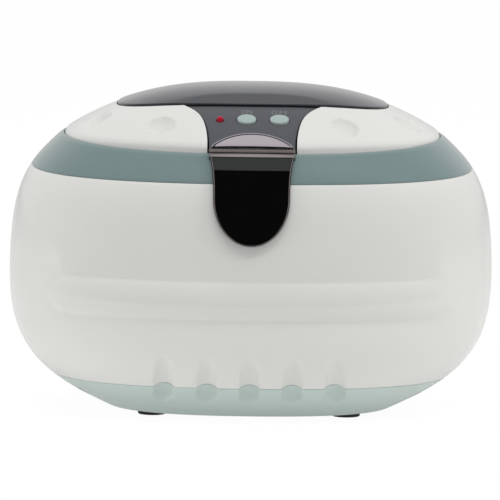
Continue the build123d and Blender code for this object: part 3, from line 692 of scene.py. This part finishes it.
# Switch lettering: the words ON and OFF behind the buttons, printed on the panel in thin grey ink
# before the buttons go in.
letter_ink = moulded("letter_ink", tone(130, 133, 138), tone(124, 127, 132), 0.4)
LETTER_SIZE, LETTER_NARROW, LETTER_Y, INK_THICK = 5, 0.62, 6.2, 0.03
for word, x, spacing in (("ON", ON_X, 1), ("OFF", OFF_X, 1.45)):
    text = bpy.data.curves.new(word, "FONT")
    text.body, text.size, text.space_character = word, LETTER_SIZE, spacing
    text.align_x, text.align_y = "CENTER", "CENTER"
    holder = bpy.data.objects.new(word, text)
    bpy.context.scene.collection.objects.link(holder)
    letters = bmesh.new()
    flat = bpy.data.meshes.new_from_object(holder.evaluated_get(bpy.context.evaluated_depsgraph_get()))
    letters.from_mesh(flat)
    bpy.data.objects.remove(holder)
    bmesh.ops.scale(letters, vec=(LETTER_NARROW, 1, 1), verts=letters.verts)
    bmesh.ops.transform(letters, matrix=panel_place(x, LETTER_Y), verts=letters.verts)
    for vert in letters.verts:
        vert.co.z = dome_height(vert.co.x, vert.co.y) - CONSOLE_SUNK + INK_THICK
    finish_piece(letters, "letters_" + word.lower(), "housing", letter_ink)

# Front piece: one smoked clear moulding. A lens-shaped lip lies on the console, a nose turns over
# the ring's edge, and a tongue runs down the body over the black plate, glued along its rim.
LIP_HALF, LIP_Y0, LIP_Y1, LIP_MID_Y, LIP_PROUD, LIP_ROLL = 17.4, -58.6, -52.4, -55, 0.3, 1.2
TONGUE_HALF, TONGUE_TOP_HALF, TONGUE_TOP_Z, TONGUE_ROUND_Z, TONGUE_TIP_Z = 16.2, 18.2, 115.9, 98, 78
FLARE_X, FLARE_TOP_Z, FLARE_LOW_Z, ROUND = 0.6, 111, 107.5, 0.5523  # the curves' handles
NOSE_Y, NOSE_LOW_Z, NOSE_TOP_Z = -63.6, 116.5, 117.6
TONGUE_OUT, POCKET_OUT, BROW_LOW_Z, PLATE_TOP_Z = 2.9, 1.3, 114.7, 109.4
lip_glass = smoked("lip_glass", tone(181, 175, 180), tone(174, 168, 173), 0.12)
strip_glass = smoked("strip_glass", tone(122, 114, 112), tone(116, 108, 107), 0.1)
brow_glass = smoked("brow_glass", tone(156, 149, 147), tone(148, 141, 139), 0.1)
# The neck's grey is painted light: it stands in for the lit ring seen through the smoked glass.
neck_painted_light = smoked("neck_painted_light", tone(56, 58, 57), tone(50, 52, 51), 0.2)
tongue_glass = smoked("tongue_glass", tone(150, 152, 152), tone(144, 147, 147), 0.02, 1, 0)
lip_rise = LIP_Y1 - LIP_Y0
lip_radius = (LIP_HALF**2 + lip_rise**2) / (2 * lip_rise)
lip_sweep = atan(LIP_HALF / (lip_radius - lip_rise))
lip_arc = [lip_sweep * (1 - i / 20) for i in range(41)]
lip_plan = [(lip_radius * sin(a), LIP_Y1 - lip_radius * (1 - cos(a))) for a in lip_arc]
lip_plan += [(LIP_HALF * (i / 10 - 1), LIP_Y0) for i in range(1, 20)]


def lip_height(x, y):
    """The lip's top, which rolls down towards the nose."""
    roll = max(0, 1 - (y - LIP_Y0) / LIP_ROLL)
    return dome_height(x, y) + LIP_PROUD - LIP_ROLL * roll**2


def lip_point(column, row):
    share, drop = row
    x, y = lip_plan[column]
    x, y = x * share, LIP_MID_Y + (y - LIP_MID_Y) * share
    return Vector((x, y, lip_height(x, y) - drop))


lip_rows = [(i / 16, 0) for i in range(16)] + [(0.955, 0), (0.985, 0.06), (1, 0.25), (1, 1.5), (0, 2)]
lip = skin(range(len(lip_plan)), lip_rows, lip_point, closed=False)
finish_piece(lip, "front_lip", "housing", lip_glass, sharp=50)


def beside(outline, column, grow):
    """A point of a closed outline, moved to the right of the way that the outline runs."""
    (x0, y0), (x1, y1) = outline[column - 1], outline[(column + 1) % len(outline)]
    length = hypot(x1 - x0, y1 - y0)
    x, y = outline[column]
    return x + grow * (y1 - y0) / length, y - grow * (x1 - x0) / length


def lip_frame_point(column, row):
    grow, rise = row
    x, y = beside(lip_plan, column, grow)
    return Vector((x, y, lip_height(x, y) + rise))


lip_columns = range(len(lip_plan))
# A black ribbon along the lip's edge: painted shade that stands in for the shadow in the groove round
# the lens.
groove = skin(lip_columns, [(-0.5, -0.4), (-0.5, 0.04), (-0.05, 0.04), (-0.05, -0.4)], lip_frame_point)
finish_piece(groove, "lip_groove_shadow", "housing", painted_shadow_black)
ridge = skin(lip_columns, [(-0.05, -1.2), (-0.05, 0.1), (0.25, 0.1), (0.25, -1.2)], lip_frame_point)
finish_piece(ridge, "lip_ridge", "housing", lip_glass)
nose = bmesh.new()
bmesh.ops.create_cube(nose, size=1)
nose_size = (2 * TONGUE_TOP_HALF, LIP_Y0 - NOSE_Y, NOSE_TOP_Z - NOSE_LOW_Z)
nose_middle = (0, (LIP_Y0 + NOSE_Y) / 2, (NOSE_TOP_Z + NOSE_LOW_Z) / 2)
bmesh.ops.scale(nose, vec=nose_size, verts=nose.verts)
moved(nose, *nose_middle)
front_verts = {vert for vert in nose.verts if vert.co.y < NOSE_Y + 1 and vert.co.z > NOSE_LOW_Z + 0.1}
front_edges = [edge for edge in nose.edges if front_verts.issuperset(edge.verts)]
bevelled(nose, front_edges, 0.7, 8)
bevelled(nose, nose.edges[:], 0.15, 2)
finish_piece(nose, "front_nose", "housing", strip_glass)


def bezier(p0, p1, p2, p3, count):
    """Points of a curve with two handles, without its last one."""
    points = []
    for i in range(count):
        t = i / count
        weights = ((1 - t) ** 3, 3 * t * (1 - t) ** 2, 3 * t * t * (1 - t), t**3)
        points.append(tuple(sum(w * p[k] for w, p in zip(weights, (p0, p1, p2, p3))) for k in (0, 1)))
    return points


def tongue_outline(shrink=0.0, top_z=TONGUE_TOP_Z, low_z=TONGUE_TIP_Z):
    """Front outline of the tongue, moved inwards and cut off above and below."""
    half, top_half, tip_z = TONGUE_HALF - shrink, TONGUE_TOP_HALF - shrink, TONGUE_TIP_Z + shrink
    handle_z = TONGUE_ROUND_Z - ROUND * (TONGUE_ROUND_Z - tip_z)
    top, side = (top_half, TONGUE_TOP_Z), (half, TONGUE_ROUND_Z)
    flare = bezier(top, (half + FLARE_X, FLARE_TOP_Z), (half, FLARE_LOW_Z), side, 20)
    tip = bezier(side, (half, handle_z), (ROUND * half, tip_z), (0, tip_z), 24)
    right = [(x, z) for x, z in flare + tip if low_z <= z <= top_z]
    left = [(-x, z) for x, z in reversed(right)]
    across = [i / 12 - 1 for i in range(1, 24)]
    upper = [(right[0][0] * share, right[0][1]) for share in across]
    lower = [(-right[-1][0] * share, right[-1][1]) for share in across]
    return right + (lower if low_z > tip_z else [(0, tip_z)]) + left + upper


def front_y(x, z):
    """Depth of the barrel's front at a place seen from the front."""
    width = half_width(z)
    low, high = 0.0, 1.0
    for _ in range(18):
        turn = (low + high) / 2
        px, py = plan_point(3 + turn, width, DEPTH_RATIO * width)
        low, high = (turn, high) if px < abs(x) else (low, turn)
    return py


def laid_on_front(outline, rows, mid_z=TONGUE_ROUND_Z + 2):
    """A closed sheet that lies in front of the barrel: rows of (share of the outline, distance)."""

    def point(column, row):
        share, out = row
        x, z = outline[column][0] * share, mid_z + (outline[column][1] - mid_z) * share
        return Vector((x, front_y(x, z) - out, z))

    return skin(range(len(outline)), rows, point, closed=False)


tongue_rows = [(i / 14, TONGUE_OUT) for i in range(13)]
for share, drop in ((0.955, 0), (0.975, 0.08), (0.99, 0.3), (1, 0.8)):
    tongue_rows.append((share, TONGUE_OUT - drop))
tongue_rows += [(1, 0.25), (0.975, 0.25), (0.975, POCKET_OUT)]
tongue_rows += [(i / 7, POCKET_OUT) for i in range(6, -1, -1)]
tongue = laid_on_front(tongue_outline(), tongue_rows)
finish_piece(tongue, "front_tongue", "housing", tongue_glass, ["console_lens"])


def edge_point(column, row):
    inwards, out = row
    x, z = beside(tongue_plan, column, inwards)
    return Vector((x, front_y(x, z) - out, z))


tongue_plan = tongue_outline()
# A lighter ribbon along the tongue's outline: a painted highlight that stands in for light caught in the
# glass's edge.
edge_rows = [(0.35, TONGUE_OUT - 0.8), (0.35, TONGUE_OUT - 0.02)]
edge_rows += [(0.7, TONGUE_OUT + 0.04), (0.7, TONGUE_OUT - 0.8)]
edge_highlight = skin(range(len(tongue_plan)), edge_rows, edge_point)
finish_piece(edge_highlight, "tongue_edge_highlight", "housing", strip_glass)
# The neck: an opaque grey sheet between the brow and the plate, its grey painted light that stands in
# for the lit ring seen through the glass.
neck_rows = [(i / 8, TONGUE_OUT + 0.05) for i in range(9)] + [(1, 1), (0, 1)]
neck_plan = tongue_outline(0.75, BROW_LOW_Z, PLATE_TOP_Z)
neck = laid_on_front(neck_plan, neck_rows, (BROW_LOW_Z + PLATE_TOP_Z) / 2)
finish_piece(neck, "tongue_neck", "housing", neck_painted_light)
brow_out = TONGUE_OUT + 0.2
brow_rows = [(i / 8, brow_out) for i in range(8)]
brow_rows += [(0.98, brow_out), (1, TONGUE_OUT), (1, 0.3), (0, 0.3)]
brow_top, brow_low, brow_top_z = TONGUE_TOP_HALF, TONGUE_TOP_HALF - 0.5, TONGUE_TOP_Z + 0.1
brow_plan = [(brow_top, brow_top_z)] + [(brow_low * (1 - i / 12), BROW_LOW_Z) for i in range(25)]
brow_plan += [(brow_top * (i / 12 - 1), brow_top_z) for i in range(24)]
brow = laid_on_front(brow_plan, brow_rows, (TONGUE_TOP_Z + BROW_LOW_Z) / 2)
finish_piece(brow, "tongue_brow", "housing", brow_glass)

# Plate: a bare black plastic sheet with a soft gloss, cut a little smaller than the tongue's outline
# and glued into the pocket behind it.
black_sheet = moulded("black_sheet", tone(9, 9, 10), tone(14, 14, 15), 0.4, grain=0.1)
PLATE_FRONT, PLATE_BACK = 1.1, 0.6
plate_rows = [(i / 12, PLATE_FRONT) for i in range(13)] + [(i / 6, PLATE_BACK) for i in range(6, -1, -1)]
plate = laid_on_front(tongue_outline(0.7, PLATE_TOP_Z), plate_rows)
finish_piece(plate, "black_plate_sheet", "housing", black_sheet, ["label_plate"])

# Tank: one deep-drawn sheet of stainless steel with a flat flange, its wall drawn bright with fine
# upright lines, resting on a pale silicone seal.
TANK_FLOOR_Z, TANK_WALL_Z, TANK_SHEET, TANK_CORNER, FLANGE, FLANGE_Z = 55, 66, 0.8, 8, 4, 112.4


def brushed(name, colour, shade, roughness, stretch=(1, 1, 12), lines=220):
    """Bare metal with fine lines along one direction."""
    material = bpy.data.materials.new(name)
    material.use_nodes = True
    tree = material.node_tree
    tree.nodes["Principled BSDF"].inputs["Metallic"].default_value = 1
    place = tree.nodes.new("ShaderNodeTexCoord").outputs["Object"]
    mapping = tree.nodes.new("ShaderNodeMapping")
    mapping.inputs["Scale"].default_value = [1 / part for part in stretch]
    tree.links.new(place, mapping.inputs["Vector"])
    grain = noise(tree, mapping.outputs["Vector"], lines, 4)
    vary(tree, colour, shade, grain, roughness, 0.3, grain)
    emboss(tree, grain, 0.12, 0.03)
    return material


drawn_steel = brushed("drawn_steel", tone(205, 207, 208), tone(188, 190, 192), 0.24)


def tank_point(turn, row):
    inset, z, share = row
    x, y = plan_point(turn, TANK_X + inset, TANK_Y + inset)
    return Vector((x * share, y * share + TANK_Y0, z))


def corner_rows(outside, bottom, radius, steps):
    """The round between wall and floor, from the wall down."""
    bends = [pi / 2 * i / steps for i in range(steps + 1)]
    return [(outside - radius * (1 - cos(a)), bottom + radius * (1 - sin(a)), 1) for a in bends]


tank_rows = [(-TANK_CORNER, TANK_FLOOR_Z, share / 5) for share in range(5)]
tank_rows += corner_rows(0, TANK_FLOOR_Z, TANK_CORNER, 8)[::-1]
tank_rows += [(0, z, 1) for z in levels(TANK_WALL_Z, FLANGE_Z - 1, 6)]
tank_rows += [(0, FLANGE_Z - 1, 1), (0.3, FLANGE_Z - 0.3, 1), (1, FLANGE_Z, 1)]
tank_rows += [(FLANGE, FLANGE_Z, 1), (FLANGE, FLANGE_Z - TANK_SHEET, 1)]
tank_rows += [(TANK_SHEET, FLANGE_Z - TANK_SHEET, 1)]
tank_rows += corner_rows(TANK_SHEET, TANK_FLOOR_Z - TANK_SHEET, TANK_CORNER + TANK_SHEET, 6)
tank_rows += [(-TANK_CORNER, TANK_FLOOR_Z - TANK_SHEET, share / 4) for share in range(3, -1, -1)]
tank = skin(turns(60, 70), tank_rows, tank_point, closed=False)
finish_piece(tank, "drawn_tank", "housing", drawn_steel, ["tank"])


def dress(material, *names):
    """Gives CAD nodes their material."""
    for name in names:
        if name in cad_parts:
            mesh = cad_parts[name].data
            mesh.materials.clear()
            mesh.materials.append(material)


silicone = moulded("pale_silicone", tone(214, 214, 210), tone(204, 205, 201), 0.5, grain=0.2)
dress(silicone, "tank_gasket", "basket_feet")

# Basket: a pale satin plastic tray with slots in its floor and walls and a rim to lift it by.
# It stands in the tank on four push-in silicone feet.
basket_grey = moulded("basket_plastic", tone(196, 198, 199), tone(188, 190, 192), 0.34, grain=0.2)
basket = bmesh.new()
basket.from_mesh(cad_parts["basket"].data)
bmesh.ops.scale(basket, vec=(1 / MM, 1 / MM, 1 / MM), verts=basket.verts)
bmesh.ops.remove_doubles(basket, verts=basket.verts, dist=0.002)
finish_piece(basket, "slotted_basket", "basket", basket_grey, ["basket"], sharp=30)

# Power inlet: a black socket moulding, clipped in behind the body's pocket, with two ground steel
# contacts for a detachable lead.
black_plastic = moulded(
    "black_plastic", tone(36, 36, 38), tone(30, 30, 32), 0.45, grain=0.4, grain_size=0.5
)
ground_steel = brushed("ground_steel", tone(210, 210, 210), tone(196, 196, 197), 0.16, (12, 1, 1))
dress(black_plastic, "power_inlet", "tact_switches", "transistors")
dress(ground_steel, "inlet_pins", "hinge_pins")

# Working parts inside the closed housing: the bolted transducer under the tank, the driver board
# with its components, the switch board, the wires and the screws.
zinc = brushed("zinc_plate", tone(190, 190, 186), tone(168, 170, 168), 0.34, (3, 3, 3), 400)
turned_alloy = brushed("turned_aluminium", tone(206, 207, 210), tone(190, 192, 196), 0.3, (8, 8, 1), 500)
copper = brushed("copper", tone(206, 140, 98), tone(184, 112, 70), 0.28, (4, 1, 1), 600)
dress(zinc, "board_screws", "rear_mass", "transducer_bolt")
dress(turned_alloy, "front_mass", "heat_sink")
dress(copper, "electrodes", "transformer_winding")
dress(moulded("fired_ceramic", tone(226, 222, 208), tone(212, 206, 190), 0.6, grain=0.3), "piezo_rings")
circuit_green = moulded("circuit_green", tone(38, 104, 62), tone(30, 90, 52), 0.35, clouds=60)
dress(circuit_green, "power_board", "control_board")
dress(moulded("dark_ferrite", tone(58, 56, 56), tone(48, 46, 46), 0.6, grain=0.4), "transformer_core")
dress(moulded("can_sleeve", tone(34, 40, 84), tone(28, 34, 74), 0.3), "capacitors")
dress(moulded("fuse_glass", tone(214, 220, 220), tone(200, 208, 208), 0.1, coat=0.5), "fuse")
dress(moulded("wire_sleeve", tone(70, 70, 76), tone(60, 60, 66), 0.5), "wires")

# Base screws: four cross-head screws of zinc-plated steel, driven up through the cover's deep holes
# into the body's bosses.
HEAD_Z, HEAD_R, HEAD_H, SHANK_R, SHANK_TOP = 12.4, 2.9, 2.4, 1.2, 24
CROSS_HALF, CROSS_THIN, CROSS_DEEP = 2, 0.4, 1.2
screw_profile = [(0, HEAD_Z), (HEAD_R - 0.4, HEAD_Z), (HEAD_R, HEAD_Z + 0.4)]
screw_profile += [(HEAD_R, HEAD_Z + HEAD_H), (SHANK_R, HEAD_Z + HEAD_H), (SHANK_R, SHANK_TOP - 1)]
screw_profile += [(0.3, SHANK_TOP), (0, SHANK_TOP)]
screws, crosses = [], []
for x, y in SCREW_PLACES:
    screws.append((turned(screw_profile, 40), Matrix.Translation((x, y, 0))))
    for half_x, half_y in ((CROSS_HALF, CROSS_THIN), (CROSS_THIN, CROSS_HALF)):
        cross_plan = rounded_rectangle(half_x, half_y, CROSS_THIN / 2)
        cross = rounded_slab(cross_plan, HEAD_Z - 1, HEAD_Z + CROSS_DEEP)
        crosses.append(cutter_from(moved(cross, x, y)))
cover_screws = finish_piece(
    joined(screws), "cover_screws", "housing", zinc, ["base_screws"]
)
cut_away(cover_screws, *crosses)

# Stage: a plain white table top that keeps the object's soft shadow. It ends a hand's width in front
# of the object, so the tongue and the bar's lower half mirror the dark room and not the table.
TABLE_HALF, TABLE_FRONT_Y = 6, -0.2
FLOOR_GLOW, GLOW_SHARE, GLOW_SEEN = 1.05, 0.25, 0.65
floor_white = moulded("floor_white", tone(246, 246, 244), tone(244, 244, 243), 0.9, clouds=2)
floor_nodes, floor_links = floor_white.node_tree.nodes, floor_white.node_tree.links
glow = floor_nodes.new("ShaderNodeEmission")
glow.inputs["Strength"].default_value = FLOOR_GLOW
path = floor_nodes.new("ShaderNodeLightPath")
share = floor_nodes.new("ShaderNodeMath")
share.operation = "MULTIPLY_ADD"
share.inputs[1].default_value = GLOW_SEEN
share.inputs[2].default_value = GLOW_SHARE
mix = floor_nodes.new("ShaderNodeMixShader")
floor_links.new(path.outputs["Is Camera Ray"], share.inputs[0])
floor_links.new(share.outputs["Value"], mix.inputs["Fac"])
floor_links.new(floor_nodes["Principled BSDF"].outputs["BSDF"], mix.inputs[1])
floor_links.new(glow.outputs["Emission"], mix.inputs[2])
floor_links.new(mix.outputs["Shader"], floor_nodes["Material Output"].inputs["Surface"])
floor_white.cycles.emission_sampling = "NONE"
floor_mesh = bpy.data.meshes.new("floor")
floor_bm = bmesh.new()
bmesh.ops.create_grid(floor_bm, x_segments=4, y_segments=4, size=TABLE_HALF)
moved(floor_bm, 0, TABLE_HALF + TABLE_FRONT_Y).to_mesh(floor_mesh)
floor_bm.free()
floor_mesh.materials.append(floor_white)
stage_floor = bpy.data.objects.new("floor", floor_mesh)
bpy.context.scene.collection.objects.link(stage_floor)

# Light: soft boxes above, at both sides and in front, kept out of the reflections, in a pale room
# that mirrors bright behind the object and dark in front of it.
ROOM_LEVEL, MIRROR_WAY, MIRROR_FROM, MIRROR_TO = 0.37, (0, 1, -0.6), (-0.3, 0.6), (0.06, 0.85)
world = bpy.context.scene.world or bpy.data.worlds.new("world")
bpy.context.scene.world = world
world.use_nodes = True
sky, links = world.node_tree.nodes, world.node_tree.links
sky.clear()
output = sky.new("ShaderNodeOutputWorld")
seen, room, mirror = (sky.new("ShaderNodeBackground") for _ in range(3))
seen.inputs["Color"].default_value = (1, 1, 1, 1)
room.inputs["Color"].default_value = (1, 1, 1, 1)
room.inputs["Strength"].default_value = ROOM_LEVEL
direction, towards_back = sky.new("ShaderNodeTexCoord"), sky.new("ShaderNodeVectorMath")
towards_back.operation = "DOT_PRODUCT"
towards_back.inputs[1].default_value = MIRROR_WAY
fade = sky.new("ShaderNodeMapRange")
fade.inputs["From Min"].default_value, fade.inputs["From Max"].default_value = MIRROR_FROM
fade.inputs["To Min"].default_value, fade.inputs["To Max"].default_value = MIRROR_TO
links.new(direction.outputs["Generated"], towards_back.inputs[0])
links.new(towards_back.outputs["Value"], fade.inputs["Value"])
links.new(fade.outputs["Result"], mirror.inputs["Strength"])
rays, mirror_rays = sky.new("ShaderNodeLightPath"), sky.new("ShaderNodeMath")
mirror_rays.operation = "MAXIMUM"
links.new(rays.outputs["Is Glossy Ray"], mirror_rays.inputs[0])
links.new(rays.outputs["Is Transmission Ray"], mirror_rays.inputs[1])
inner_mix, outer_mix = sky.new("ShaderNodeMixShader"), sky.new("ShaderNodeMixShader")
links.new(mirror_rays.outputs["Value"], inner_mix.inputs["Fac"])
links.new(room.outputs["Background"], inner_mix.inputs[1])
links.new(mirror.outputs["Background"], inner_mix.inputs[2])
links.new(rays.outputs["Is Camera Ray"], outer_mix.inputs["Fac"])
links.new(inner_mix.outputs["Shader"], outer_mix.inputs[1])
links.new(seen.outputs["Background"], outer_mix.inputs[2])
links.new(outer_mix.outputs["Shader"], output.inputs["Surface"])
LAMPS_AIM = Vector((0, 0, 0.07))
LAMPS = (  # place, width and height in metres, watts
    ("top_box", (-0.2, 0, 1.3), (0.9, 0.9), 4.2),
    ("key_box", (1.1, -0.4, 1.1), (0.4, 0.4), 3.6),
    ("left_box", (-1.4, -0.3, 0.16), (0.9, 0.3), 4.2),
    ("right_box", (1.4, -0.3, 0.16), (0.9, 0.3), 2.4),
    ("front_box", (0.2, -0.8, 1.65), (1.4, 0.3), 9.5),
    ("low_box", (0, -1.6, 0.14), (1.8, 0.24), 1.5),
)
for name, spot, size, watts in LAMPS:
    lamp = bpy.data.lights.new(name, "AREA")
    lamp.shape, lamp.energy = "RECTANGLE", watts
    lamp.size, lamp.size_y = size
    holder = bpy.data.objects.new(name, lamp)
    holder.visible_glossy = False
    holder.visible_transmission = False
    holder.location = spot
    holder.rotation_euler = (LAMPS_AIM - Vector(spot)).to_track_quat("-Z", "Y").to_euler()
    bpy.context.scene.collection.objects.link(holder)

# Camera: a long lens, eight metres in front of the object and seven degrees above the table, turned
# by a fraction of a degree as the photograph is.
LOOK_AT, DISTANCE, ELEVATION, ROLL = Vector((-0.0004, 0, 0.0675)), 8, radians(7), radians(0.72)
PICTURE, PIXELS_PER_METRE = 500, 2360
camera_data = bpy.data.cameras.new("camera")
camera_data.sensor_width = 36
camera_data.lens = camera_data.sensor_width * DISTANCE * PIXELS_PER_METRE / PICTURE
camera_data.clip_end = 100
camera = bpy.data.objects.new("camera", camera_data)
away = Vector((0, -cos(ELEVATION), sin(ELEVATION))) * DISTANCE
tilt = Matrix.Rotation(pi / 2 - ELEVATION, 4, "X") @ Matrix.Rotation(ROLL, 4, "Z")
camera.matrix_world = Matrix.Translation(LOOK_AT + away) @ tilt
bpy.context.scene.collection.objects.link(camera)
bpy.context.scene.camera = camera
bpy.context.scene.view_settings.view_transform = "Standard"
